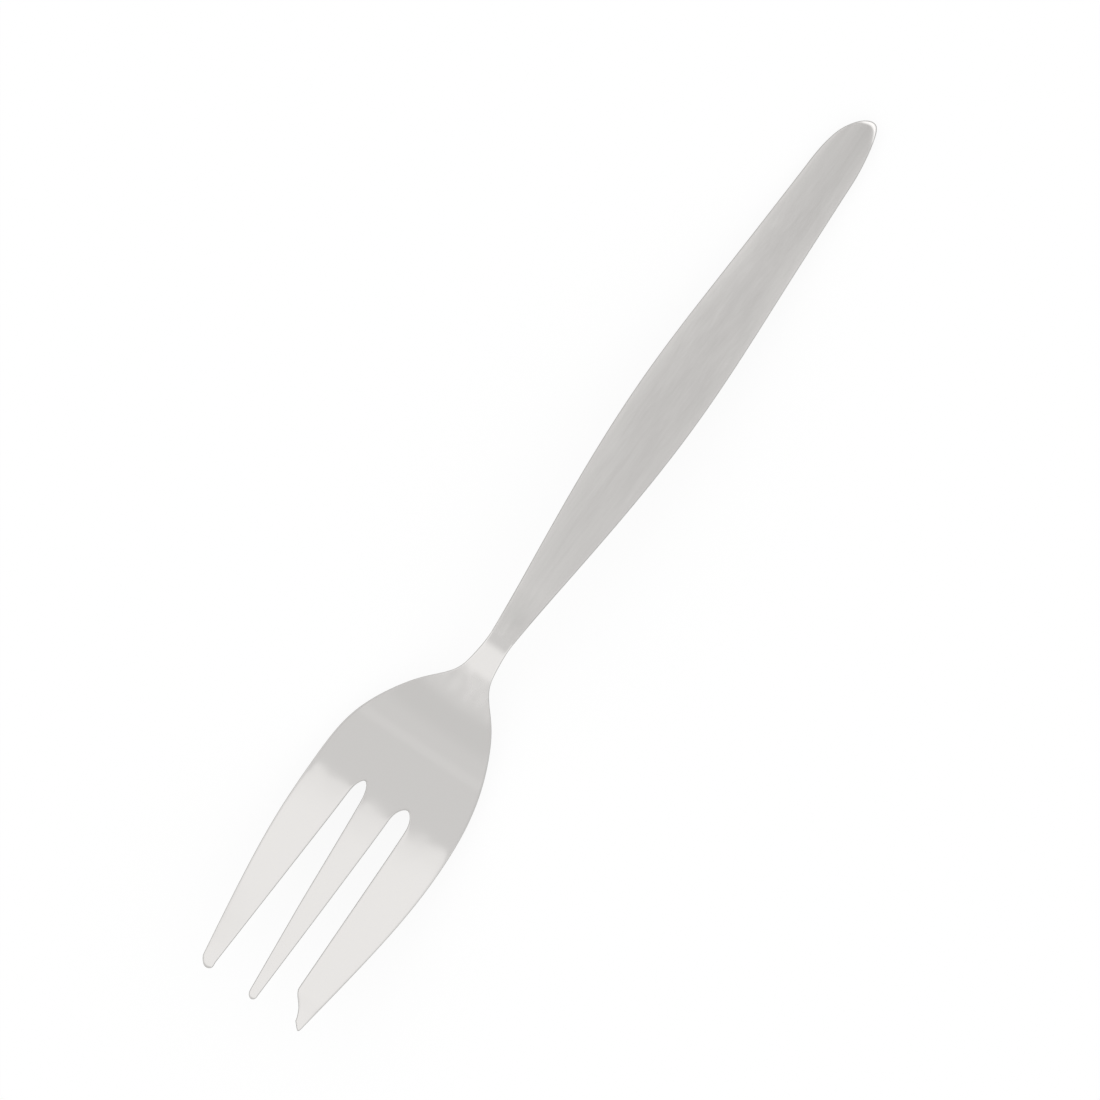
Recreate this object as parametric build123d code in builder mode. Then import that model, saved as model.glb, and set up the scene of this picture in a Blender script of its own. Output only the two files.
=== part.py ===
"""Pastry fork: one stamped strip of stainless steel, lying on a table with its hollow side up.

X runs along the fork from the tine tips to the handle end, Y runs across it and Z is up. The
origin is under the middle of the fork, on the table. The cutting tine is on the -Y side.
"""

import os
from dataclasses import dataclass

from build123d import *
from scipy.interpolate import CubicSpline, PchipInterpolator

# Lengths along the fork
TINE_LENGTH = 32.6  # tine tips to the line where the slots start to round off
SLOT_BOTTOM = 1.2  # depth of the rounded slot bottoms
PALM_LENGTH = 28.6  # tine roots to the neck, where the brushed handle starts
HANDLE_LENGTH = 88.8  # neck to the handle end
MID_TINE_FROM_TIPS = 13.5
BOWL_LOW_FROM_NECK = 20.2
SHOULDER_FROM_NECK = 14.2
CHEEK_FROM_NECK = 10.2
THROAT_FROM_NECK = 7.4
NAPE_FROM_NECK = 4.4
CREST_FROM_NECK = 14.8
HANDLE_WIDEST_FROM_NECK = 41.0
TAPER_FROM_END = 27.5
REST_FROM_END = 8.0  # where the underside comes down to the table
END_ROUND_LENGTH = 10.5

# Widths seen from above
TIP_SPREAD = 16.9  # over the outer edges of the two side tines
MID_TINE_SPREAD = 21.2
HEAD_WIDTH = 23.6  # over the tine roots
BOWL_LOW_WIDTH = 21.4
SHOULDER_WIDTH = 16.45
CHEEK_WIDTH = 10.9
THROAT_WIDTH = 6.0
NAPE_WIDTH = 4.3
NECK_WIDTH = 3.75
NECK_FLARE = 0.07  # how fast each side spreads towards the handle there
CREST_WIDTH = 6.75
HANDLE_WIDTH = 10.1
TAPER_WIDTH = 8.65
END_WIDTH = 7.0
END_SWEEP = 165  # degrees of the ellipse that rounds the handle end

# Slots and tines, measured across from the centre line
PLAIN_SLOT_Y = 4.08  # middle of the slot beside the plain tine, at the tine roots
PLAIN_SLOT_WIDTH = 1.8
CUTTING_SLOT_Y = -3.14
CUTTING_SLOT_WIDTH = 2.45
PLAIN_TIP_WIDTH = 1.9
MIDDLE_TIP_WIDTH = 1.55
MIDDLE_TIP_Y = -0.2
CUTTING_CORNER_Y = -4.82  # inner corner where the hooked end starts
CUTTING_CORNER_FROM_TIPS = 4.7
HOOK_Y = -6.55  # deepest place of the hook
HOOK_FROM_TIPS = 2.8
POINT_WIDTH = 1.35  # cutting tine at its very tip, before it is rounded
POINT_SLANT = 0.9  # how far the inner corner of the point stays behind the outer one
CORNER_ROUND = 0.5
HOOK_ROUND = 1.4

# Heights of the underside above the table
TIP_LIFT = 11.7
MID_TINE_LIFT = 7.35
ROOT_LIFT = 1.35
SHOULDER_LIFT = 0.65
THROAT_LIFT = 2.7
NECK_LIFT = 6.6
CREST_LIFT = 8.7
HANDLE_LIFT = 6.3
TAPER_LIFT = 2.9
REST_LIFT = 0.17
END_LIFT = 0.07

# Thicknesses
TIP_THICKNESS = 1.05
MID_TINE_THICKNESS = 1.25
PALM_THICKNESS = 1.5
SHOULDER_THICKNESS = 1.7
THROAT_THICKNESS = 2.2
NECK_THICKNESS = 2.5
CREST_THICKNESS = 2.2
HANDLE_THICKNESS = 1.9
END_THICKNESS = 1.7

# Bow of the sections across the fork: lifted edges make a dish, dropped edges a crown
TIP_DISH = 0.3
MID_TINE_DISH = 0.55
PALM_DISH = 0.8
SHOULDER_DISH = 0.45
THROAT_CROWN = 0.1
NECK_CROWN = 0.35
CREST_CROWN = 0.4
HANDLE_CROWN = 0.75
BACK_CROWN = 0.12
END_HOLLOW = 0.25  # the underside of the handle end stands on its two sides

EDGE_BREAK = 0.2  # narrow bevel on every edge, so that none is sharp
BLANK_MARGIN = 1.5  # metal that the cutting die takes off all round
SECTION_COUNT = 31

TIPS_X = -(TINE_LENGTH + PALM_LENGTH + HANDLE_LENGTH) / 2
ROOT_X = TIPS_X + TINE_LENGTH
NECK_X = ROOT_X + PALM_LENGTH
END_X = NECK_X + HANDLE_LENGTH


@dataclass(frozen=True)
class Station:
    """A place along the fork: its width, height, thickness and the bows of both faces."""

    x: float
    width: float
    lift: float
    thickness: float
    face_bow: float
    back_bow: float

    def side(self) -> Vector:
        """Return the point of the outline on the +Y side."""
        return Vector(self.x, self.width / 2)

    def other_side(self) -> Vector:
        """Return the point of the outline on the -Y side."""
        return Vector(self.x, -self.width / 2)


mid_x = TIPS_X + MID_TINE_FROM_TIPS
low_x = NECK_X - BOWL_LOW_FROM_NECK
shoulder_x = NECK_X - SHOULDER_FROM_NECK
throat_x = NECK_X - THROAT_FROM_NECK
crest_x = NECK_X + CREST_FROM_NECK
grip_x = NECK_X + HANDLE_WIDEST_FROM_NECK
taper_x = END_X - TAPER_FROM_END
rest_x = END_X - REST_FROM_END
tips = Station(TIPS_X, TIP_SPREAD, TIP_LIFT, TIP_THICKNESS, TIP_DISH, TIP_DISH)
mid = Station(mid_x, MID_TINE_SPREAD, MID_TINE_LIFT, MID_TINE_THICKNESS, MID_TINE_DISH, MID_TINE_DISH)
root = Station(ROOT_X, HEAD_WIDTH, ROOT_LIFT, PALM_THICKNESS, PALM_DISH, PALM_DISH)
low = Station(low_x, BOWL_LOW_WIDTH, 0, PALM_THICKNESS, PALM_DISH, PALM_DISH)
shoulder = Station(
    shoulder_x, SHOULDER_WIDTH, SHOULDER_LIFT, SHOULDER_THICKNESS, SHOULDER_DISH, SHOULDER_DISH
)
throat = Station(throat_x, THROAT_WIDTH, THROAT_LIFT, THROAT_THICKNESS, -THROAT_CROWN, BACK_CROWN)
neck = Station(NECK_X, NECK_WIDTH, NECK_LIFT, NECK_THICKNESS, -NECK_CROWN, NECK_CROWN)
crest = Station(crest_x, CREST_WIDTH, CREST_LIFT, CREST_THICKNESS, -CREST_CROWN, BACK_CROWN)
grip = Station(grip_x, HANDLE_WIDTH, HANDLE_LIFT, HANDLE_THICKNESS, -HANDLE_CROWN, BACK_CROWN)
taper = Station(taper_x, TAPER_WIDTH, TAPER_LIFT, HANDLE_THICKNESS, -HANDLE_CROWN, BACK_CROWN)
rest = Station(rest_x, END_WIDTH, REST_LIFT, END_THICKNESS, -HANDLE_CROWN, -END_HOLLOW)
end = Station(END_X, END_WIDTH, END_LIFT, END_THICKNESS, -HANDLE_CROWN, -END_HOLLOW)
stations = (tips, mid, root, low, shoulder, throat, neck, crest, grip, taper, rest, end)

# Smooth curves through the stations: straight at the tips, level at the handle end
places = [station.x for station in stations]
lifts = [station.lift for station in stations]
lift_at = CubicSpline(places, lifts, bc_type=((2, 0.0), (1, 0.0)))
width_at = PchipInterpolator(places, [station.width for station in stations])
thickness_at = PchipInterpolator(places, [station.thickness for station in stations])
face_bow_at = PchipInterpolator(places, [station.face_bow for station in stations])
back_bow_at = PchipInterpolator(places, [station.back_bow for station in stations])

# The pressed blank: a curved strip, dished at the head and crowned along the handle
with BuildPart() as blank:
    spacing = (END_X - TIPS_X + 2 * BLANK_MARGIN) / (SECTION_COUNT - 1)
    for index in range(SECTION_COUNT):
        x = TIPS_X - BLANK_MARGIN + index * spacing
        reach = float(width_at(x)) / 2 + BLANK_MARGIN
        back_z = float(lift_at(x))
        face_z = back_z + float(thickness_at(x))
        back_edge_z = back_z + float(back_bow_at(x))
        face_edge_z = face_z + float(face_bow_at(x))
        with BuildSketch(Plane.YZ.offset(x)):
            with BuildLine():
                back = Spline((-reach, back_edge_z), (0, back_z), (reach, back_edge_z))
                face = Spline((reach, face_edge_z), (0, face_z), (-reach, face_edge_z))
                Line(back @ 1, face @ 0)
                Line(face @ 1, back @ 0)
            make_face()
    loft()

# The die lies below the blank and cuts the outline up through it
die = Plane.XY.offset(-CREST_LIFT)
die_stroke = 3 * CREST_LIFT
plain_slot_low = Vector(ROOT_X, PLAIN_SLOT_Y - PLAIN_SLOT_WIDTH / 2)
plain_slot_high = Vector(ROOT_X, PLAIN_SLOT_Y + PLAIN_SLOT_WIDTH / 2)
cutting_slot_low = Vector(ROOT_X, CUTTING_SLOT_Y - CUTTING_SLOT_WIDTH / 2)
cutting_slot_high = Vector(ROOT_X, CUTTING_SLOT_Y + CUTTING_SLOT_WIDTH / 2)


def corner_of(plan: BuildSketch, place: Vector) -> Vertex:
    """Return the corner of an outline that is nearest to a place."""
    return plan.vertices().sort_by_distance(place)[0]


def rim_of(node: BuildPart) -> ShapeList[Edge]:
    """Return the edges round the face and the back, except where two nodes meet."""
    broad_faces = node.faces().sort_by(SortBy.AREA)[-2:]
    return broad_faces.edges().filter_by(
        lambda edge: min(abs(edge.center().X - ROOT_X), abs(edge.center().X - NECK_X)) > 0.01
    )


# The plain tine, which leans outwards from a rounded tip
with BuildPart() as plain_tine:
    inner_tip = Vector(TIPS_X, TIP_SPREAD / 2 - PLAIN_TIP_WIDTH)
    with BuildSketch(die) as plain_plan:
        with BuildLine():
            tine_side = Line(tips.side(), mid.side())
            root_side = TangentArc(mid.side(), root.side(), tangent=tine_side % 1)
            Polyline(root.side(), plain_slot_high, inner_tip, tips.side())
        make_face()
        fillet(corner_of(plain_plan, tips.side()), radius=PLAIN_TIP_WIDTH * 0.5)
        fillet(corner_of(plain_plan, inner_tip), radius=PLAIN_TIP_WIDTH * 0.28)
    extrude(amount=die_stroke)
    add(blank.part, mode=Mode.INTERSECT)
    chamfer(rim_of(plain_tine), length=EDGE_BREAK)

# The middle tine, which narrows to a round tip
with BuildPart() as middle_tine:
    left_tip = Vector(TIPS_X, MIDDLE_TIP_Y + MIDDLE_TIP_WIDTH / 2)
    right_tip = Vector(TIPS_X, MIDDLE_TIP_Y - MIDDLE_TIP_WIDTH / 2)
    with BuildSketch(die) as middle_plan:
        with BuildLine():
            Polyline(plain_slot_low, left_tip, right_tip, cutting_slot_high, close=True)
        make_face()
        fillet(corner_of(middle_plan, left_tip), radius=MIDDLE_TIP_WIDTH * 0.44)
        fillet(corner_of(middle_plan, right_tip), radius=MIDDLE_TIP_WIDTH * 0.44)
    extrude(amount=die_stroke)
    add(blank.part, mode=Mode.INTERSECT)
    chamfer(rim_of(middle_tine), length=EDGE_BREAK)

# The cutting tine: wide, with a hooked end that leaves a narrow point at its outer edge
with BuildPart() as cutting_tine:
    hook_corner = Vector(TIPS_X + CUTTING_CORNER_FROM_TIPS, CUTTING_CORNER_Y)
    hook = Vector(TIPS_X + HOOK_FROM_TIPS, HOOK_Y)
    point = Vector(TIPS_X + POINT_SLANT, POINT_WIDTH - TIP_SPREAD / 2)
    with BuildSketch(die) as cutting_plan:
        with BuildLine():
            cutting_edge = Line(tips.other_side(), mid.other_side())
            TangentArc(mid.other_side(), root.other_side(), tangent=cutting_edge % 1)
            Polyline(
                root.other_side(),
                cutting_slot_low,
                hook_corner,
                hook,
                point,
                tips.other_side(),
            )
        make_face()
        fillet(corner_of(cutting_plan, hook_corner), radius=CORNER_ROUND)
        fillet(corner_of(cutting_plan, hook), radius=HOOK_ROUND)
        fillet(corner_of(cutting_plan, point), radius=POINT_WIDTH * 0.25)
        fillet(corner_of(cutting_plan, tips.other_side()), radius=POINT_WIDTH * 0.18)
    extrude(amount=die_stroke)
    add(blank.part, mode=Mode.INTERSECT)
    chamfer(rim_of(cutting_tine), length=EDGE_BREAK)

# The palm and the neck, with the rounded slot bottoms cut into the palm
with BuildPart() as head:
    neck_flare = Vector(1, NECK_FLARE)
    with BuildSketch(die) as head_plan:
        with BuildLine():
            Spline(
                root.side(),
                low.side(),
                shoulder.side(),
                (NECK_X - CHEEK_FROM_NECK, CHEEK_WIDTH / 2),
                throat.side(),
                (NECK_X - NAPE_FROM_NECK, NAPE_WIDTH / 2),
                neck.side(),
                tangents=(root_side % 1, neck_flare),
            )
            mirror(about=Plane.XZ)
            Line(neck.side(), neck.other_side())
            Line(root.side(), root.other_side())
        make_face()
        with Locations((ROOT_X, PLAIN_SLOT_Y)):
            Ellipse(SLOT_BOTTOM, PLAIN_SLOT_WIDTH / 2, mode=Mode.SUBTRACT)
        with Locations((ROOT_X, CUTTING_SLOT_Y)):
            Ellipse(SLOT_BOTTOM, CUTTING_SLOT_WIDTH / 2, mode=Mode.SUBTRACT)
    extrude(amount=die_stroke)
    add(blank.part, mode=Mode.INTERSECT)
    chamfer(rim_of(head), length=EDGE_BREAK)

# The handle, which swells from the neck, tapers again and ends in a half ellipse
with BuildPart() as handle:
    end_centre = (END_X - END_ROUND_LENGTH, 0)
    end_start = -END_SWEEP / 2
    with BuildSketch(die) as handle_plan:
        with BuildLine():
            end_round = EllipticalCenterArc(
                end_centre, END_ROUND_LENGTH, END_WIDTH / 2, end_start, arc_size=END_SWEEP
            )
            handle_side = Spline(
                neck.side(),
                crest.side(),
                grip.side(),
                taper.side(),
                end_round @ 1,
                tangents=(neck_flare, -(end_round % 1)),
            )
            mirror(handle_side, about=Plane.XZ)
            Line(neck.side(), neck.other_side())
        make_face()
    extrude(amount=die_stroke)
    add(blank.part, mode=Mode.INTERSECT)
    chamfer(rim_of(handle), length=EDGE_BREAK)

os.makedirs("parts", exist_ok=True)
handle.part.label = "handle"
export_step(handle.part, "parts/handle.step")
head.part.label = "head"
export_step(head.part, "parts/head.step")
plain_tine.part.label = "plain_tine"
export_step(plain_tine.part, "parts/plain_tine.step")
middle_tine.part.label = "middle_tine"
export_step(middle_tine.part, "parts/middle_tine.step")
cutting_tine.part.label = "cutting_tine"
export_step(cutting_tine.part, "parts/cutting_tine.step")
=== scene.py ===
"""Dresses the pastry fork: a satin handle, a mirror polished head, a white table and studio light.

Lengths are millimetres in the fork's own frame: X runs from the tine tips to the handle end, Y
across the fork to the plain tine and Z up from the table. A finished mesh is scaled to metres.
"""

import logging
import math
from dataclasses import dataclass
from enum import Enum

import bmesh
import bpy
import numpy as np
from mathutils import Euler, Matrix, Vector


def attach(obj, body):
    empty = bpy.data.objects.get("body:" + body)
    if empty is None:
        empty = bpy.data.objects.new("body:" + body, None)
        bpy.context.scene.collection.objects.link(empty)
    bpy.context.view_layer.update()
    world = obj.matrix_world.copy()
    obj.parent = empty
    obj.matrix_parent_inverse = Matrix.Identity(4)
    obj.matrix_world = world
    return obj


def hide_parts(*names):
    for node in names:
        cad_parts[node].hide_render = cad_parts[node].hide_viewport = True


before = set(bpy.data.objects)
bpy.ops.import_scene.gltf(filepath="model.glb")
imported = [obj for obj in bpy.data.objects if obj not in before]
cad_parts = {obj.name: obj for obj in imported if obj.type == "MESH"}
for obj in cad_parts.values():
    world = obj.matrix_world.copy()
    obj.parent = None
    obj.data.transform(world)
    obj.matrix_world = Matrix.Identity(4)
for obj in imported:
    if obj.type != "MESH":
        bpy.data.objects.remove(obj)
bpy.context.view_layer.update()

log = logging.getLogger("pastry_fork")
MM = 0.001

# Places along the fork that its pieces and finishes share
TIP_X = -75.0
ROOT_X = -42.4
NECK_X = -13.8
END_X = 75.0


def linear(colour: str) -> tuple[float, float, float, float]:
    """Turn an sRGB hex colour into linear light.

    Args:
        colour: six hex digits, red first.

    Returns:
        Linear red, green and blue, with an alpha of 1.
    """
    shares = (int(colour[place:place + 2], 16) / 255 for place in (0, 2, 4))
    red, green, blue = (s / 12.92 if s <= 0.04045 else ((s + 0.055) / 1.055) ** 2.4 for s in shares)
    return red, green, blue, 1.0


def add_node(
    tree: bpy.types.NodeTree, kind: str, inputs: dict | None = None, **settings
) -> bpy.types.Node:
    """Add a node, set its options, and set or link its inputs.

    Args:
        tree: the node tree that gets the node.
        kind: the node's type name.
        inputs: input names or numbers, each with a constant or with the output socket to link.
        settings: the node's own options.

    Returns:
        The new node.
    """
    node = tree.nodes.new(kind)
    for name, value in settings.items():
        setattr(node, name, value)
    for name, value in (inputs or {}).items():
        if isinstance(value, bpy.types.NodeSocket):
            tree.links.new(value, node.inputs[name])
        else:
            node.inputs[name].default_value = value
    return node


@dataclass(frozen=True)
class SmoothCurve:
    """A curve of continuous curvature through knots, with given slopes at both ends."""

    places: tuple[float, ...]
    values: tuple[float, ...]
    start_slope: float = 0.0
    end_slope: float = 0.0

    def slopes(self) -> np.ndarray:
        """Find the slopes that keep the curvature continuous.

        Returns:
            The slope at every knot.
        """
        count = len(self.places)
        gaps = np.diff(self.places)
        rises = np.diff(self.values) / gaps
        matrix = np.eye(count)
        right = np.zeros(count)
        right[0] = self.start_slope
        right[-1] = self.end_slope
        for knot in range(1, count - 1):
            before, after = gaps[knot - 1], gaps[knot]
            matrix[knot, knot - 1:knot + 2] = after, 2 * (before + after), before
            right[knot] = 3 * (after * rises[knot - 1] + before * rises[knot])
        return np.linalg.solve(matrix, right)

    def sampled(self, places: np.ndarray) -> np.ndarray:
        """Read the curve at many places.

        Args:
            places: places along the curve.

        Returns:
            The curve's value at each place.
        """
        slopes = self.slopes()
        knots = np.asarray(self.places)
        values = np.asarray(self.values)
        left = np.clip(np.searchsorted(knots, places) - 1, 0, len(knots) - 2)
        gap = knots[left + 1] - knots[left]
        share = (places - knots[left]) / gap
        rest = 1 - share
        return (
            values[left] * rest * rest * (1 + 2 * share)
            + values[left + 1] * share * share * (1 + 2 * rest)
            + gap * share * rest * (slopes[left] * rest - slopes[left + 1] * share)
        )


class Side(Enum):
    """The two broad sides of the fork."""

    FACE = "face"
    BACK = "back"


@dataclass(frozen=True)
class PressedStrip:
    """The strip of steel that handle and head are cut from: its curve, thickness and bows."""

    places: tuple[float, ...] = (
        TIP_X, -61.5, ROOT_X, -34.0, -28.0, -21.2, NECK_X, 1.0, 27.2, 47.5, 67.0, END_X
    )
    widths: tuple[float, ...] = (
        16.9, 21.2, 23.6, 21.4, 16.45, 6.0, 3.75, 6.75, 10.1, 8.65, 7.0, 7.0
    )
    lifts: tuple[float, ...] = (11.7, 7.35, 1.35, 0.0, 0.65, 2.7, 6.6, 8.7, 6.3, 2.9, 0.18, 0.08)
    thicknesses: tuple[float, ...] = (1.05, 1.25, 1.5, 1.5, 1.7, 2.2, 2.5, 2.2, 1.9, 1.9, 1.7, 1.7)
    face_bows: tuple[float, ...] = (
        0.3, 0.55, 0.8, 0.8, 0.45, -0.1, -0.35, -0.4, -0.75, -0.75, -0.75, -0.75
    )
    back_bows: tuple[float, ...] = (
        0.3, 0.55, 0.8, 0.8, 0.45, 0.12, 0.35, 0.12, 0.12, 0.12, -0.25, -0.25
    )
    tip_slope: float = -0.317
    end_slope: float = 0.0
    margin: float = 1.5

    def height(self, x: np.ndarray, y: np.ndarray, side: Side) -> np.ndarray:
        """Read the height of one broad side above the table.

        Args:
            x: places along the fork.
            y: places across it.
            side: the face or the back.

        Returns:
            The height at each place.
        """
        lift = SmoothCurve(self.places, self.lifts, self.tip_slope, self.end_slope).sampled(x)
        reach = SmoothCurve(self.places, self.widths).sampled(x) / 2 + self.margin
        bows = self.back_bows if side is Side.BACK else self.face_bows
        bowed = SmoothCurve(self.places, bows).sampled(x) * (y / reach) ** 2
        if side is Side.BACK:
            return lift + bowed
        return lift + SmoothCurve(self.places, self.thicknesses).sampled(x) + bowed


@dataclass
class StripPiece:
    """A piece cut from the pressed strip, made as a cage that is then subdivided."""

    strip: PressedStrip
    name: str
    edge_break: float = 0.16
    break_segments: int = 2
    subdivisions: int = 2
    broad_normal_z: float = 0.5
    rim_normal_z: float = 0.6
    neck_tolerance: float = 0.001
    round_neck: tuple[float, ...] = (-22.0, -19.5, -12.8, -9.0)

    def sheet(self, rows: int, columns: int) -> bmesh.types.BMesh:
        """Return a flat sheet of unit squares: X counts rows and Y counts columns.

        Args:
            rows: squares along the fork.
            columns: squares across it.

        Returns:
            The sheet, with a corner at the origin.
        """
        sheet = bmesh.new()
        bmesh.ops.create_grid(sheet, x_segments=rows, y_segments=columns, size=0.5)
        bmesh.ops.translate(sheet, vec=(0.5, 0.5, 0), verts=sheet.verts)
        bmesh.ops.scale(sheet, vec=(rows, columns, 1), verts=sheet.verts)
        return sheet

    def height(self, x: np.ndarray, y: np.ndarray, side: Side) -> np.ndarray:
        """Return the height of one broad side of this piece at many places."""
        return self.strip.height(x, y, side)

    def thicken(self, sheet: bmesh.types.BMesh) -> None:
        """Give a flat sheet its two curved sides and break the edges between them.

        Args:
            sheet: the sheet, already in its outline.
        """
        face_verts = sheet.verts[:]
        made = bmesh.ops.extrude_face_region(sheet, geom=sheet.faces[:])["geom"]
        back_verts = [item for item in made if isinstance(item, bmesh.types.BMVert)]
        for side, verts in ((Side.FACE, face_verts), (Side.BACK, back_verts)):
            x = np.array([vert.co.x for vert in verts])
            y = np.array([vert.co.y for vert in verts])
            for vert, height in zip(verts, self.height(x, y, side)):
                vert.co.z = height
        bmesh.ops.recalc_face_normals(sheet, faces=sheet.faces)
        broad = {face for face in sheet.faces if abs(face.normal.z) > self.broad_normal_z}
        rims = [
            edge for edge in sheet.edges
            if sum(face in broad for face in edge.link_faces) == 1 and not self.at_neck(edge)
        ]
        broken = bmesh.ops.bevel(
            sheet,
            geom=rims,
            offset=self.edge_break,
            offset_type="OFFSET",
            segments=self.break_segments,
            profile=0.5,
            affect="EDGES",
            clamp_overlap=False,
            material=-1,
        )
        self.mark_rim(sheet, set(broken["faces"]))

    def mark_rim(self, sheet: bmesh.types.BMesh, broken: set[bmesh.types.BMFace]) -> None:
        """Mark the ground rim round the piece, where the finish is duller and painted darker as
        shade; the mark fades out at the polished neck.

        Args:
            sheet: the thickened cage.
            broken: the faces of the broken edges.
        """
        sheet.normal_update()
        rim = sheet.verts.layers.float.new("rim")
        for vert in sheet.verts:
            whole = [face for face in vert.link_faces if face not in broken]
            on_broad_side = any(abs(face.normal.z) > self.rim_normal_z for face in whole)
            away_from_neck = np.interp(vert.co.x, self.round_neck, (1, 0, 0, 1))
            vert[rim] = 0.0 if on_broad_side else away_from_neck

    def at_neck(self, edge: bmesh.types.BMEdge) -> bool:
        """Tell whether an edge lies in the plane where handle and head meet."""
        return all(abs(vert.co.x - NECK_X) < self.neck_tolerance for vert in edge.verts)

    def finish(self, sheet: bmesh.types.BMesh) -> bpy.types.Object:
        """Turn the cage into a smooth object in metres.

        Args:
            sheet: the thickened cage.

        Returns:
            The new object, with its subdivision.
        """
        crease = sheet.edges.layers.float.new("crease_edge")
        for edge in sheet.edges:
            if self.at_neck(edge):
                edge[crease] = 1.0
                edge.smooth = False
        for face in sheet.faces:
            face.smooth = True
        bmesh.ops.scale(sheet, vec=(MM, MM, MM), verts=sheet.verts)
        mesh = bpy.data.meshes.new(self.name)
        sheet.to_mesh(mesh)
        sheet.free()
        piece = bpy.data.objects.new(self.name, mesh)
        bpy.context.scene.collection.objects.link(piece)
        subdivision = piece.modifiers.new("subdivision", "SUBSURF")
        subdivision.levels = self.subdivisions
        subdivision.render_levels = self.subdivisions
        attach(piece, "root")
        log.info("%s: %d cage faces", self.name, len(mesh.polygons))
        return piece


@dataclass
class SatinHandle(StripPiece):
    """The handle from the neck to its rounded end."""

    side_places: tuple[float, ...] = (NECK_X, 1.0, 27.2, 47.5, 65.87)
    side_widths: tuple[float, ...] = (3.6, 6.47, 9.9, 8.5, 6.8)
    neck_flare: float = 0.07
    end_flare: float = -0.044
    end_x: float = 74.98
    round_length: float = 10.5
    body_rows: int = 56
    end_rings: tuple[float, ...] = (0.0, 0.22, 0.42, 0.6, 0.75, 0.86, 0.93, 1.0)
    columns: int = 8
    end_half_width: float = 3.4
    end_lean: float = -0.9
    lean_power: int = 5
    roll_from: float = 72.4
    roll_sides: tuple[float, float] = (0.7, 1.7)
    roll_share: float = 0.1
    roll_drop: float = 0.34
    brush_map_tilt: float = 0.3

    def outline(self, row: np.ndarray, column: np.ndarray) -> tuple[np.ndarray, np.ndarray]:
        """Lay the sheet's rows and columns into the handle's outline.

        Args:
            row: row numbers, from the neck.
            column: column numbers, from the -Y side.

        Returns:
            X and Y of each crossing.
        """
        side = SmoothCurve(
            self.side_places,
            tuple(width / 2 for width in self.side_widths),
            self.neck_flare,
            self.end_flare,
        )
        round_x = self.end_x - self.round_length
        across = column / self.columns * 2 - 1
        along = np.minimum(row / self.body_rows, 1)
        x = NECK_X + along * (round_x - NECK_X)
        y = across * side.sampled(x)
        turn = np.interp(row - self.body_rows, range(len(self.end_rings)), self.end_rings)
        x = x + self.round_length * turn * np.sqrt(1 - across**2 / 2)
        y = y * np.sqrt(1 - turn**2 / 2)
        return x, y + self.lean(x)

    def lean(self, x: np.ndarray) -> np.ndarray:
        """Return how far the middle of the handle end lies off the axis at places along it."""
        into_round = np.clip((x - self.end_x) / self.round_length + 1, 0, 1)
        return self.end_lean * into_round**self.lean_power

    def height(self, x: np.ndarray, y: np.ndarray, side: Side) -> np.ndarray:
        """Read the height of one broad side, with the face rolled over at the handle end.

        Args:
            x: places along the handle.
            y: places across it.
            side: the face or the back.

        Returns:
            The height at each place.
        """
        plain = self.strip.height(x, y, side)
        return plain - self.roll_drop * self.roll(x, y) if side is Side.FACE else plain

    def roll(self, x: np.ndarray, y: np.ndarray) -> np.ndarray:
        """Read how far the face is rolled over at one side of the handle end.

        Args:
            x: places along the handle.
            y: places across it.

        Returns:
            The share of the whole roll at each place.
        """
        round_x = self.end_x - self.round_length
        out = np.hypot((x - round_x) / self.round_length, (y - self.lean(x)) / self.end_half_width)
        rolled = np.clip((out - 1) / self.roll_share + 1, 0, 1) ** 2
        near_end = np.clip((x - self.roll_from) / (self.end_x - self.roll_from), 0, 1)
        to_one_side = np.interp(y - self.lean(x), self.roll_sides, (1, 0))
        return rolled * np.sqrt(near_end) * to_one_side

    def mark_lip(self, sheet: bmesh.types.BMesh) -> None:
        """Mark the rolled lip of the face, which gets a painted highlight.

        Args:
            sheet: the thickened cage.
        """
        lip = sheet.verts.layers.float.new("lip")
        for vert in sheet.verts:
            if vert.normal.z > 0:
                vert[lip] = self.roll(vert.co.x, vert.co.y)

    def lay_brush_map(self, sheet: bmesh.types.BMesh) -> None:
        """Lay a map across the handle, so that the finish knows which way it was brushed.

        Args:
            sheet: the thickened cage.
        """
        brushed = sheet.loops.layers.uv.new("brushed")
        for face in sheet.faces:
            for loop in face.loops:
                place = loop.vert.co
                loop[brushed].uv = place.y + self.brush_map_tilt * place.z, place.x

    def build(self) -> bpy.types.Object:
        """Model the handle and let it stand for its CAD node.

        Returns:
            The finished handle.
        """
        sheet = self.sheet(self.body_rows + len(self.end_rings) - 1, self.columns)
        row = np.array([vert.co.x for vert in sheet.verts])
        column = np.array([vert.co.y for vert in sheet.verts])
        for vert, x, y in zip(sheet.verts, *self.outline(row, column)):
            vert.co = x, y, 0
        self.thicken(sheet)
        self.mark_lip(sheet)
        self.lay_brush_map(sheet)
        piece = self.finish(sheet)
        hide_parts("handle")
        return piece


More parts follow.
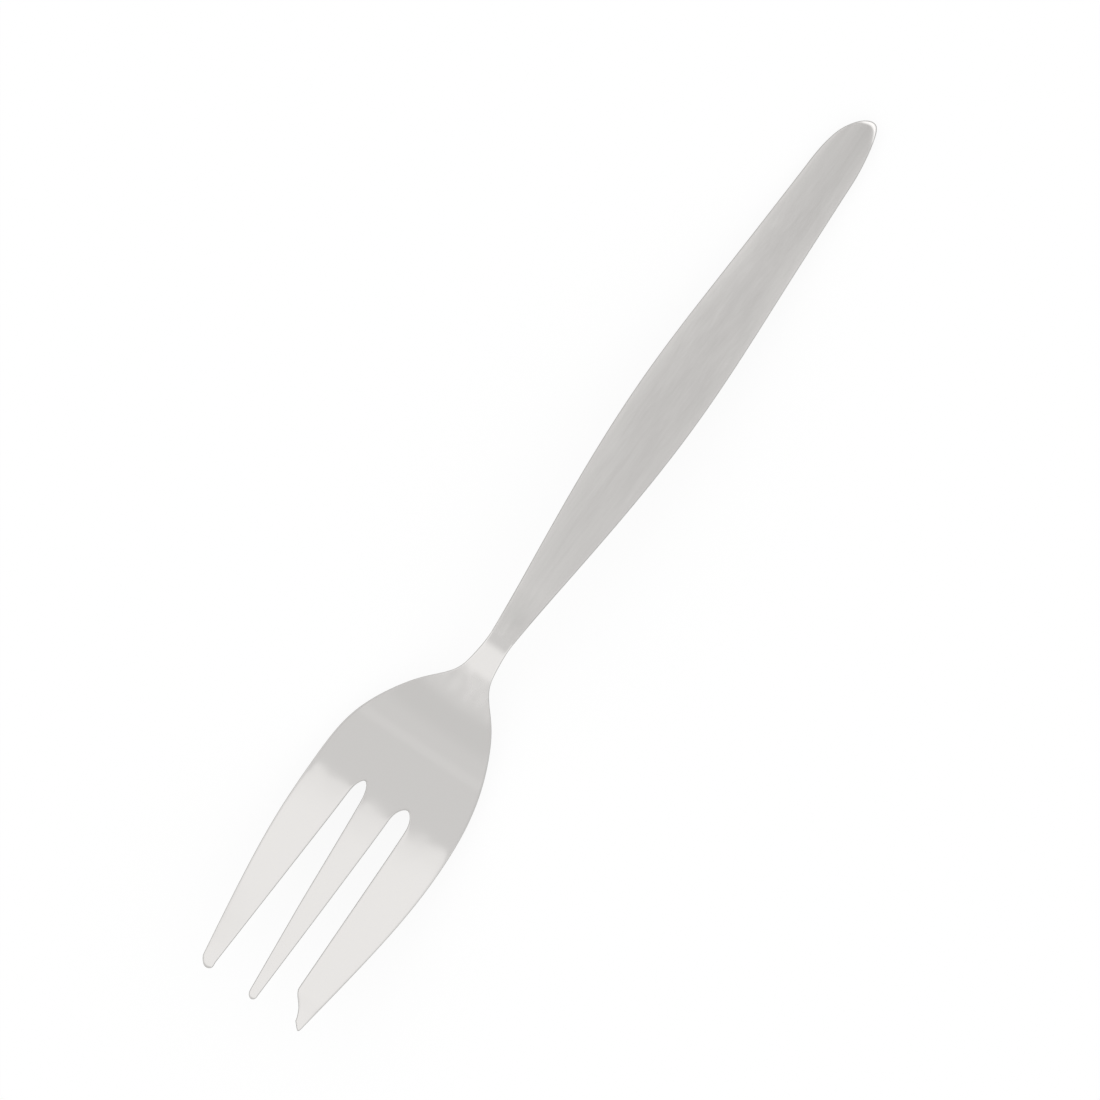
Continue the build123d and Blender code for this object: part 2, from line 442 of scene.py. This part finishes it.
@dataclass
class PolishedHead(StripPiece):
    """The neck, the palm and the three tines, in one continuous sheet with two slots."""

    side_places: tuple[float, ...] = (
        TIP_X, -61.5, -52.0, ROOT_X, -34.0, -28.0, -24.0, -21.2, -18.2, NECK_X
    )
    side_widths: tuple[float, ...] = (16.8, 21.0, 23.1, 23.42, 21.25, 16.2, 10.7, 5.85, 4.15, 3.6)
    tip_flare: float = 0.159
    neck_flare: float = 0.07
    tip_x: float = -74.88
    tip_rounds: tuple[float, float, float] = (0.3, 0.85, 1.2)
    tip_leans: tuple[float, float, float] = (0.1, -0.1, -0.3)
    point_slant: float = 0.9
    slot_depth: float = 1.8
    slot_blend: float = 9.0
    tine_places: tuple[float, ...] = (TIP_X, -60.0, ROOT_X)
    plain_inner: tuple[float, ...] = (6.62, 5.87, 5.0)
    middle_left: tuple[float, ...] = (0.36, 1.74, 3.06)
    middle_right: tuple[float, ...] = (-0.89, -1.37, -1.86)
    hook_places: tuple[float, ...] = (TIP_X, -74.2, -73.2, -72.0, -71.0, -70.2, ROOT_X)
    hook_inner: tuple[float, ...] = (-7.55, -7.3, -7.05, -6.48, -5.55, -4.94, -4.55)
    lane_columns: tuple[int, ...] = (0, 5, 7, 11, 13, 18)
    tip_row: int = 2
    hook_row: int = 12
    root_row: int = 26
    neck_row: int = 50
    hook_end_x: float = -68.5
    palm_draw: float = 0.4
    palm_lean: float = 0.38
    palm_lean_x: float = -33.5
    palm_lean_reach: float = 7.5
    twist: float = 0.0013
    twist_from: float = -41.4
    twist_run: float = 3.0

    @property
    def slot_middles(self) -> list[int]:
        """Return the middle column of each slot."""
        slots = zip(self.lane_columns[1::2], self.lane_columns[2::2])
        return [(first + last) // 2 for first, last in slots]

    def half_width(self, x: np.ndarray) -> np.ndarray:
        """Return half the head's width at places along it."""
        halves = tuple(width / 2 for width in self.side_widths)
        return SmoothCurve(self.side_places, halves, self.tip_flare, self.neck_flare).sampled(x)

    def lane_edges(self, x: np.ndarray) -> list[np.ndarray]:
        """Read where the six tine edges lie.

        Args:
            x: places along the tines.

        Returns:
            Y of each edge at each place, from the cutting side.
        """
        return [
            -self.half_width(x),
            np.interp(x, self.hook_places, self.hook_inner),
            np.interp(x, self.tine_places, self.middle_right),
            np.interp(x, self.tine_places, self.middle_left),
            np.interp(x, self.tine_places, self.plain_inner),
            self.half_width(x),
        ]

    def across_tines(self, x: np.ndarray, column: np.ndarray) -> np.ndarray:
        """Share the columns out over tines and slots.

        Args:
            x: places along the tines.
            column: column numbers, from the cutting side.

        Returns:
            Y of each crossing.
        """
        edges = np.stack(self.lane_edges(x))
        last_lane = len(self.lane_columns) - 2
        lane = np.searchsorted(self.lane_columns, column, side="right") - 1
        lane = np.clip(lane, 0, last_lane)
        first = np.take(self.lane_columns, lane)
        last = np.take(self.lane_columns, lane + 1)
        share = (column - first) / (last - first)
        each = np.arange(len(x))
        return edges[lane, each] * (1 - share) + edges[lane + 1, each] * share

    def outline(self, row: np.ndarray, column: np.ndarray) -> tuple[np.ndarray, np.ndarray]:
        """Lay the sheet's rows and columns into the head's outline.

        Args:
            row: row numbers, from the tine tips.
            column: column numbers, from the cutting side.

        Returns:
            X and Y of each crossing.
        """
        marks = (0, self.tip_row, self.hook_row, self.root_row, self.neck_row)
        x = np.interp(row, marks, (self.tip_x, self.tip_x, self.hook_end_x, ROOT_X, NECK_X))
        near_tip = np.interp(row, (self.tip_row, self.hook_row), (1, 0))
        tine = np.searchsorted(self.slot_middles, column, side="right")
        x = x + near_tip * np.take(self.tip_rounds, tine)
        cutting_last = self.lane_columns[1]
        slant = np.where(column <= cutting_last, column / cutting_last, 0)
        x = x + near_tip * self.point_slant * slant
        along_tines = np.minimum(x, ROOT_X)
        y = self.across_tines(along_tines, column)

        # The palm: the columns draw together towards the neck
        palm = np.clip((x - ROOT_X) / (NECK_X - ROOT_X), 0, 1)
        share = y / self.half_width(along_tines)
        drawn = np.sign(share) * np.abs(share) ** (1 + self.palm_draw * palm) * self.half_width(x)
        y = np.where(palm > 0, drawn, y)
        off_lean = (x - self.palm_lean_x) / self.palm_lean_reach
        y = y + self.palm_lean * np.exp(-(off_lean**2))

        # The slot bottoms: the middle column of each slot lies deeper in the palm
        slot_middle = np.isin(column, self.slot_middles)
        shift = self.slot_depth * np.clip(1 - (x - ROOT_X) / self.slot_blend, 0, 1)
        x = np.where(slot_middle & (row >= self.root_row), x + shift, x)

        # The tips: the last rows of every tine bend into a round end
        turn = np.clip(1 - row / self.tip_row, 0, 1)
        tines = zip(
            self.lane_columns[0::2], self.lane_columns[1::2], self.tip_rounds, self.tip_leans
        )
        for first, last, tip_round, lean in tines:
            inside = (column >= first) & (column <= last)
            across = np.where(inside, (column - first) / (last - first) * 2 - 1, 0)
            middle = np.where(inside, self.across_tines(x, np.full_like(x, (first + last) / 2)), 0)
            x = np.where(inside, x - tip_round * turn * np.sqrt(1 - across**2 / 2), x)
            y = np.where(inside, middle + lean * turn + (y - middle) * np.sqrt(1 - turn**2 / 2), y)
        return x, y

    def height(self, x: np.ndarray, y: np.ndarray, side: Side) -> np.ndarray:
        """Read the height of one broad side, with each tine twisted a little.

        Args:
            x: places along the head.
            y: places across it.
            side: the face or the back.

        Returns:
            The height at each place.
        """
        edges = self.lane_edges(np.minimum(x, ROOT_X))
        middle = np.select(
            (y < (edges[1] + edges[2]) / 2, y > (edges[3] + edges[4]) / 2),
            ((edges[0] + edges[1]) / 2, (edges[4] + edges[5]) / 2),
            (edges[2] + edges[3]) / 2,
        )

        # The twist sets in gently over its first stretch
        run = np.clip(self.twist_from - x, 0, None)
        gently = run**2 / (2 * self.twist_run)
        turned = np.where(run < self.twist_run, gently, run - self.twist_run / 2)
        return self.strip.height(x, y, side) - self.twist * turned * (y - middle)

    def build(self) -> bpy.types.Object:
        """Model the head and let it stand for its four CAD nodes.

        Returns:
            The finished head.
        """
        sheet = self.sheet(self.neck_row, self.lane_columns[-1])
        slots = [
            face for face in sheet.faces
            if face.calc_center_median().x < self.root_row
            and any(abs(face.calc_center_median().y - middle) < 1 for middle in self.slot_middles)
        ]
        bmesh.ops.delete(sheet, geom=slots, context="FACES")
        row = np.array([round(vert.co.x) for vert in sheet.verts], float)
        column = np.array([round(vert.co.y) for vert in sheet.verts], float)
        for vert, x, y in zip(sheet.verts, *self.outline(row, column)):
            vert.co = x, y, 0
        self.thicken(sheet)
        piece = self.finish(sheet)
        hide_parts("head", "plain_tine", "middle_tine", "cutting_tine")
        return piece


@dataclass(frozen=True)
class SteelFinish:
    """Stainless steel with a ground rim, duller and painted darker as shade: what both finishes of
    the fork share.
    """

    name: str
    rim_shade_colour: str = "B8B6B4"
    rim_roughness: float = 0.35

    def start(self) -> tuple[bpy.types.Material, bpy.types.Node]:
        """Start the material: a metal that is duller on the ground rim, where shade is painted in a
        darker colour.

        A finish links its own colour to the node "shade" and its roughness to "gloss".

        Returns:
            The material and its shader.
        """
        material = bpy.data.materials.new(self.name)
        material.use_nodes = True
        tree = material.node_tree
        shader = tree.nodes["Principled BSDF"]
        shader.inputs["Metallic"].default_value = 1.0
        rim = add_node(tree, "ShaderNodeAttribute", attribute_name="rim")
        # Painted shade: the rim gets a darker colour for the dark edges, besides the duller
        # roughness of the real grinding
        shade = add_node(
            tree,
            "ShaderNodeMix",
            {0: rim.outputs["Fac"], 7: linear(self.rim_shade_colour)},
            data_type="RGBA",
            name="shade",
        )
        tree.links.new(shade.outputs[2], shader.inputs["Base Color"])
        gloss = add_node(
            tree,
            "ShaderNodeMix",
            {0: rim.outputs["Fac"], 3: self.rim_roughness},
            data_type="FLOAT",
            name="gloss",
        )
        tree.links.new(gloss.outputs[0], shader.inputs["Roughness"])
        return material, shader

    def streaks(
        self,
        tree: bpy.types.NodeTree,
        places: bpy.types.NodeSocket,
        width: float,
        length: float,
        detail: float,
    ) -> bpy.types.NodeSocket:
        """Draw streaks along the fork.

        Args:
            tree: the material's node tree.
            places: the places on the surface, in metres.
            width: width of a streak in millimetres.
            length: length of a streak in millimetres.
            detail: how much finer than that the streaks get.

        Returns:
            The strength of the streaks, round 0.5.
        """
        fine = (1 / (length * MM), 1 / (width * MM), 1 / (width * MM))
        drawn = add_node(tree, "ShaderNodeMapping", {"Vector": places, "Scale": fine})
        noise = {"Vector": drawn.outputs[0], "Scale": 1.0, "Detail": detail}
        return add_node(tree, "ShaderNodeTexNoise", noise).outputs[0]


@dataclass(frozen=True)
class SatinSteel(SteelFinish):
    """Stainless steel brushed along the handle with an abrasive belt.

    It has no clear reflections: they spread across the handle and stay short along it. The brushed
    lines of a real handle are too fine to show, so they are drawn wider here.
    """

    name: str = "stainless_steel_brushed_satin"
    dark_tone: str = "BFBDBB"
    light_tone: str = "D1CFCD"
    lip_highlight_colour: str = "E6E4E2"
    lip_highlight_begins: float = 0.1
    lip_highlight_full: float = 0.4
    roughness: tuple[float, float] = (0.26, 0.2)
    from_neck_to_end: tuple[float, float] = (NECK_X, END_X)
    stretch: float = 0.9
    line_width: float = 0.3
    line_length: float = 30.0
    line_depth: float = 0.0005
    patch_width: float = 2.0
    patch_length: float = 14.0
    detail: float = 2.0
    line_share: float = 0.35
    unevenness: float = 0.04
    pattern_range: tuple[float, float] = (0.25, 0.75)
    line_contrast: float = 0.55
    neck_painted_light: float = 0.42
    neck_painted_light_until: float = 30.0

    def material(self) -> bpy.types.Material:
        """Return the satin finish.

        Returns:
            The material, with fine brushed lines and broader uneven patches along X.
        """
        material, shader = self.start()
        tree = material.node_tree
        shader.inputs["Anisotropic"].default_value = self.stretch
        across = add_node(tree, "ShaderNodeTangent", direction_type="UV_MAP", uv_map="brushed")
        tree.links.new(across.outputs[0], shader.inputs["Tangent"])
        places = add_node(tree, "ShaderNodeTexCoord").outputs["Object"]
        along = add_node(tree, "ShaderNodeSeparateXYZ", {0: places}).outputs["X"]
        lines = self.streaks(tree, places, self.line_width, self.line_length, self.detail)
        patches = self.streaks(tree, places, self.patch_width, self.patch_length, self.detail)
        self.roughen(tree, along, patches)
        self.tint(tree, along, lines, patches)
        bump = add_node(
            tree,
            "ShaderNodeBump",
            {"Height": lines, "Strength": 1.0, "Distance": self.line_depth * MM},
        )
        tree.links.new(bump.outputs[0], shader.inputs["Normal"])
        return material

    def roughen(
        self, tree: bpy.types.NodeTree, along: bpy.types.NodeSocket, patches: bpy.types.NodeSocket
    ) -> None:
        """Set the roughness, which falls towards the handle end and differs from patch to patch.

        Args:
            tree: the material's node tree.
            along: X in metres.
            patches: the pattern of uneven patches.
        """
        spread = add_node(
            tree,
            "ShaderNodeMapRange",
            {
                "Value": along,
                "From Min": self.from_neck_to_end[0] * MM,
                "From Max": self.from_neck_to_end[1] * MM,
                "To Min": self.roughness[0] - self.unevenness,
                "To Max": self.roughness[1] - self.unevenness,
            },
        )
        uneven = add_node(
            tree,
            "ShaderNodeMath",
            {0: patches, 1: 2 * self.unevenness, 2: spread.outputs[0]},
            operation="MULTIPLY_ADD",
        )
        tree.links.new(uneven.outputs[0], tree.nodes["gloss"].inputs[2])

    def tint(
        self,
        tree: bpy.types.NodeTree,
        along: bpy.types.NodeSocket,
        lines: bpy.types.NodeSocket,
        patches: bpy.types.NodeSocket,
    ) -> None:
        """Set the colour: brushed tones, painted light that makes the handle lighter near the neck,
        and a painted highlight on the rolled lip.

        Args:
            tree: the material's node tree.
            along: X in metres.
            lines: the pattern of brushed lines.
            patches: the pattern of uneven patches.
        """
        brushed = add_node(
            tree,
            "ShaderNodeMix",
            {0: self.line_share, 2: patches, 3: lines},
            data_type="FLOAT",
        )
        lined = add_node(
            tree,
            "ShaderNodeMapRange",
            {
                "Value": brushed.outputs[0],
                "From Min": self.pattern_range[0],
                "From Max": self.pattern_range[1],
                "To Max": self.line_contrast,
            },
        )
        # Painted light: the tone goes lighter towards the neck, where the handle is lit brighter
        painted_neck_light = add_node(
            tree,
            "ShaderNodeMapRange",
            {
                "Value": along,
                "From Min": self.from_neck_to_end[0] * MM,
                "From Max": self.neck_painted_light_until * MM,
                "To Min": self.neck_painted_light,
                "To Max": 0.0,
            },
        )
        toned = add_node(
            tree,
            "ShaderNodeMath",
            {0: lined.outputs[0], 1: painted_neck_light.outputs[0]},
            operation="ADD",
        )
        tones = add_node(
            tree,
            "ShaderNodeMix",
            {0: toned.outputs[0], 6: linear(self.dark_tone), 7: linear(self.light_tone)},
            data_type="RGBA",
        )
        # Painted highlight: the rolled lip is painted near white for the bright reflection at the
        # handle end
        lip = add_node(tree, "ShaderNodeAttribute", attribute_name="lip")
        painted_lip_highlight = add_node(
            tree,
            "ShaderNodeMapRange",
            {"Value": lip.outputs["Fac"], "From Min": self.lip_highlight_begins, "From Max": self.lip_highlight_full},
        )
        face = add_node(
            tree,
            "ShaderNodeMix",
            {0: painted_lip_highlight.outputs[0], 6: tones.outputs[2], 7: linear(self.lip_highlight_colour)},
            data_type="RGBA",
        )
        tree.links.new(face.outputs[2], tree.nodes["shade"].inputs[6])


@dataclass(frozen=True)
class MirrorSteel(SteelFinish):
    """Stainless steel polished on a cloth wheel: clear, slightly wavy reflections.

    The wheel can't reach into the throat, so a fan of brushed streaks is left there; part of the
    fan has painted light in a lighter colour.
    """

    name: str = "stainless_steel_mirror_polished"
    colour: str = "D1CFCD"
    roughness: float = 0.07
    fan_roughness: float = 0.22
    wave_size: float = 3.2
    wave_height: float = 0.012
    wave_detail: float = 0.5
    streak_width: float = 1.3
    streak_length: float = 14.0
    streak_detail: float = 0.0
    streak_range: tuple[float, float] = (-0.3, 0.8)
    fan_painted_light_colour: str = "D8D6D4"
    fan_begins: tuple[float, float] = (-25.8, -23.2)
    fan_ends: tuple[float, float] = (-20.6, -18.8)
    fan_painted_light_ends: tuple[float, float] = (-22.6, -20.2)

    def material(self) -> bpy.types.Material:
        """Return the polished finish.

        Returns:
            The material, with its waves and its brushed fan.
        """
        material, shader = self.start()
        tree = material.node_tree
        places = add_node(tree, "ShaderNodeTexCoord").outputs["Object"]

        # The waves that the wheel leaves bend reflections a little
        wave_scale = 1 / (self.wave_size * MM)
        waves = add_node(
            tree,
            "ShaderNodeTexNoise",
            {"Vector": places, "Scale": wave_scale, "Detail": self.wave_detail},
        )
        bump = add_node(
            tree,
            "ShaderNodeBump",
            {"Height": waves.outputs[0], "Strength": 1.0, "Distance": self.wave_height * MM},
        )
        tree.links.new(bump.outputs[0], shader.inputs["Normal"])

        # The fan: streaks along the fork that fade out towards the palm and the neck
        streaks = self.streaks(
            tree, places, self.streak_width, self.streak_length, self.streak_detail
        )
        along = add_node(tree, "ShaderNodeSeparateXYZ", {0: places}).outputs["X"]
        spread = add_node(
            tree,
            "ShaderNodeMapRange",
            {
                "Value": self.fan_mask(tree, along, streaks, self.fan_ends),
                "To Min": self.roughness,
                "To Max": self.roughness + self.fan_roughness,
            },
        )
        tree.links.new(spread.outputs[0], tree.nodes["gloss"].inputs[2])
        # Painted light: the fan's streaks are painted lighter, fading out before the neck
        tone = add_node(
            tree,
            "ShaderNodeMix",
            {
                0: self.fan_mask(tree, along, streaks, self.fan_painted_light_ends),
                6: linear(self.colour),
                7: linear(self.fan_painted_light_colour),
            },
            data_type="RGBA",
        )
        tree.links.new(tone.outputs[2], tree.nodes["shade"].inputs[6])
        return material

    def fan_mask(
        self,
        tree: bpy.types.NodeTree,
        along: bpy.types.NodeSocket,
        streaks: bpy.types.NodeSocket,
        ends: tuple[float, float],
    ) -> bpy.types.NodeSocket:
        """Keep the streaks to the fan at the throat.

        Args:
            tree: the material's node tree.
            along: X in metres.
            streaks: the streak pattern.
            ends: where the fan fades out towards the neck.

        Returns:
            How much of the fan shows, from 0 to 1, for its brushed roughness and for its painted
            light.
        """
        rising = add_node(
            tree,
            "ShaderNodeMapRange",
            {
                "Value": along,
                "From Min": self.fan_begins[0] * MM,
                "From Max": self.fan_begins[1] * MM,
            },
            interpolation_type="SMOOTHSTEP",
        )
        falling = add_node(
            tree,
            "ShaderNodeMapRange",
            {"Value": along, "From Min": ends[1] * MM, "From Max": ends[0] * MM},
            interpolation_type="SMOOTHSTEP",
        )
        zone = add_node(
            tree,
            "ShaderNodeMath",
            {0: rising.outputs[0], 1: falling.outputs[0]},
            operation="MULTIPLY",
        )
        strength = add_node(
            tree,
            "ShaderNodeMapRange",
            {"Value": streaks, "From Min": self.streak_range[0], "From Max": self.streak_range[1]},
        )
        return add_node(
            tree,
            "ShaderNodeMath",
            {0: zone.outputs[0], 1: strength.outputs[0]},
            operation="MULTIPLY",
        ).outputs[0]


@dataclass(frozen=True)
class LightPanel:
    """A strip of the tent's ceiling with soft edges, brighter or darker than the rest.

    The azimuth is the side on which it hangs. It begins, is full and ends at angles from straight
    up, all in degrees, and its edges bend away from the middle by a share of the ceiling's height.
    """

    azimuth: float
    begins: float
    full: float
    ends: tuple[float, float]
    light: float
    bend: float = 0.0
    bend_reach: float = 0.3

    def add_to(
        self,
        tree: bpy.types.NodeTree,
        ceiling: bpy.types.NodeSocket,
        level: bpy.types.NodeSocket | float,
    ) -> bpy.types.NodeSocket:
        """Add the panel's light to the light of the tent.

        Args:
            tree: the world's node tree.
            ceiling: the place on a flat ceiling one unit up.
            level: the light without this panel.

        Returns:
            The light with this panel.
        """
        turn = math.radians(self.azimuth)
        lean = add_node(
            tree,
            "ShaderNodeVectorMath",
            {0: ceiling, 1: (math.cos(turn), math.sin(turn), 0)},
            operation="DOT_PRODUCT",
        )
        aside = add_node(
            tree,
            "ShaderNodeVectorMath",
            {0: ceiling, 1: (-math.sin(turn), math.cos(turn), 0)},
            operation="DOT_PRODUCT",
        )
        bent = add_node(
            tree,
            "ShaderNodeMath",
            {0: aside.outputs["Value"], 1: aside.outputs["Value"]},
            operation="MULTIPLY",
        )
        capped = add_node(
            tree,
            "ShaderNodeMath",
            {0: bent.outputs[0], 1: self.bend_reach**2},
            operation="MINIMUM",
        )
        edge = add_node(
            tree,
            "ShaderNodeMath",
            {0: capped.outputs[0], 1: self.bend, 2: lean.outputs["Value"]},
            operation="MULTIPLY_ADD",
        )
        shown = add_node(
            tree,
            "ShaderNodeMapRange",
            {
                "Value": edge.outputs[0],
                "From Min": math.tan(math.radians(self.begins)),
                "From Max": math.tan(math.radians(self.full)),
                "To Max": self.light,
            },
            interpolation_type="SMOOTHSTEP",
        )
        kept = add_node(
            tree,
            "ShaderNodeMapRange",
            {
                "Value": edge.outputs[0],
                "From Min": math.tan(math.radians(self.ends[0])),
                "From Max": math.tan(math.radians(self.ends[1])),
                "To Min": 1.0,
                "To Max": 0.0,
            },
            interpolation_type="SMOOTHSTEP",
        )
        return add_node(
            tree,
            "ShaderNodeMath",
            {0: shown.outputs[0], 1: kept.outputs[0], 2: level},
            operation="MULTIPLY_ADD",
        ).outputs[0]


@dataclass(frozen=True)
class Studio:
    """A white table, a soft light tent round it and a camera straight above.

    The table's size and drop and the camera's height and reach are metres.
    """

    table_size: float = 12.0
    table_drop: float = 0.0001
    table_colour: str = "F8F8F8"
    shadow_share: float = 0.12
    camera_height: float = 2.0
    camera_reach: float = 10.0
    sensor_width: float = 36.0
    frame_width: float = 153.3
    centre: tuple[float, float, float] = (0.05, 1.65, 6.0)
    camera_turn: float = -54.77
    ceiling_light: float = 0.93
    brightest: float = 1.3
    horizon_share: float = 0.3
    horizon_rise: tuple[float, float] = (0.05, 0.42)
    panels: tuple[LightPanel, ...] = (
        LightPanel(azimuth=3, begins=28.2, full=29.3, ends=(48, 62), light=0.27, bend=0.9),
        LightPanel(azimuth=3, begins=29.3, full=32.5, ends=(48, 62), light=0.07, bend=0.9),
        LightPanel(azimuth=-35, begins=38, full=46, ends=(54, 61), light=0.35),
        LightPanel(azimuth=186, begins=2, full=6, ends=(9, 14), light=0.04),
        LightPanel(azimuth=180, begins=19, full=29, ends=(34, 41), light=-0.05),
        LightPanel(azimuth=180, begins=55, full=60, ends=(66, 75), light=0.32),
        LightPanel(azimuth=90, begins=12, full=27, ends=(45, 60), light=0.34),
        LightPanel(azimuth=-90, begins=12, full=27, ends=(45, 60), light=0.17),
    )

    def table(self) -> None:
        """Lay the white table under the fork."""
        sheet = bmesh.new()
        bmesh.ops.create_grid(sheet, x_segments=1, y_segments=1, size=self.table_size / 2)
        mesh = bpy.data.meshes.new("table")
        sheet.to_mesh(mesh)
        sheet.free()
        table = bpy.data.objects.new("table", mesh)
        table.location.z = -self.table_drop
        bpy.context.scene.collection.objects.link(table)
        material = bpy.data.materials.new("white_table")
        material.use_nodes = True
        tree = material.node_tree
        tree.nodes.clear()
        matt = add_node(tree, "ShaderNodeBsdfDiffuse", {"Color": linear(self.table_colour)})
        white = add_node(tree, "ShaderNodeEmission", {"Strength": 1.0})
        path = add_node(tree, "ShaderNodeLightPath")
        seen = add_node(
            tree,
            "ShaderNodeMath",
            {0: path.outputs["Is Camera Ray"], 1: path.outputs["Is Glossy Ray"]},
            operation="MAXIMUM",
        )
        shown = add_node(
            tree,
            "ShaderNodeMath",
            {0: seen.outputs[0], 1: path.outputs["Is Transmission Ray"]},
            operation="MAXIMUM",
        )
        share = add_node(
            tree,
            "ShaderNodeMath",
            {0: shown.outputs[0], 1: 1 - self.shadow_share},
            operation="MULTIPLY",
        )
        mixed = add_node(
            tree,
            "ShaderNodeMixShader",
            {0: share.outputs[0], 1: matt.outputs[0], 2: white.outputs[0]},
        )
        add_node(tree, "ShaderNodeOutputMaterial", {"Surface": mixed.outputs[0]})
        mesh.materials.append(material)

    def light(self) -> None:
        """Hang the light tent: a grey ceiling with brighter and darker panels round it."""
        world = bpy.data.worlds.new("light_tent")
        bpy.context.scene.world = world
        world.use_nodes = True
        tree = world.node_tree
        tree.nodes.clear()
        direction = add_node(tree, "ShaderNodeTexCoord").outputs["Generated"]
        up = add_node(tree, "ShaderNodeSeparateXYZ", {0: direction}).outputs["Z"]
        lowest, full = self.horizon_rise
        clear = add_node(tree, "ShaderNodeMath", {0: up, 1: lowest}, operation="MAXIMUM")
        reach = add_node(tree, "ShaderNodeMath", {0: 1.0, 1: clear.outputs[0]}, operation="DIVIDE")
        ceiling = add_node(
            tree,
            "ShaderNodeVectorMath",
            {0: direction, "Scale": reach.outputs[0]},
            operation="SCALE",
        )
        level = self.ceiling_light
        for panel in self.panels:
            level = panel.add_to(tree, ceiling.outputs["Vector"], level)
        capped = add_node(
            tree, "ShaderNodeMath", {0: level, 1: self.brightest}, operation="MINIMUM"
        )
        above = add_node(
            tree,
            "ShaderNodeMapRange",
            {"Value": up, "From Min": lowest, "From Max": full, "To Min": self.horizon_share},
            interpolation_type="SMOOTHSTEP",
        )
        dimmed = add_node(
            tree,
            "ShaderNodeMath",
            {0: capped.outputs[0], 1: above.outputs[0]},
            operation="MULTIPLY",
        )
        background = add_node(
            tree, "ShaderNodeBackground", {"Color": (1, 1, 1, 1), "Strength": dimmed.outputs[0]}
        )
        add_node(tree, "ShaderNodeOutputWorld", {"Surface": background.outputs[0]})

    def camera(self) -> None:
        """Hang the camera above the fork, turned so that the fork lies across the picture."""
        lens = bpy.data.cameras.new("camera")
        lens.sensor_width = self.sensor_width
        lens.lens = lens.sensor_width * self.camera_height / (self.frame_width * MM)
        lens.clip_end = self.camera_reach
        camera = bpy.data.objects.new("camera", lens)
        camera.location = Vector(self.centre) * MM + Vector((0, 0, self.camera_height))
        camera.rotation_euler = Euler((0, 0, math.radians(self.camera_turn)))
        bpy.context.scene.collection.objects.link(camera)
        bpy.context.scene.camera = camera

    def build(self) -> None:
        """Set up the table, the light and the camera."""
        self.table()
        self.light()
        self.camera()
        bpy.context.scene.view_settings.view_transform = "Standard"


def main() -> None:
    """Build the pieces in order, dress them and set up the studio."""
    strip = PressedStrip()
    handle = SatinHandle(strip, "satin_handle").build()
    handle.data.materials.append(SatinSteel().material())
    head = PolishedHead(strip, "polished_head").build()
    head.data.materials.append(MirrorSteel().material())
    Studio().build()


if __name__ == "__main__":
    logging.basicConfig(level=logging.INFO)
    main()
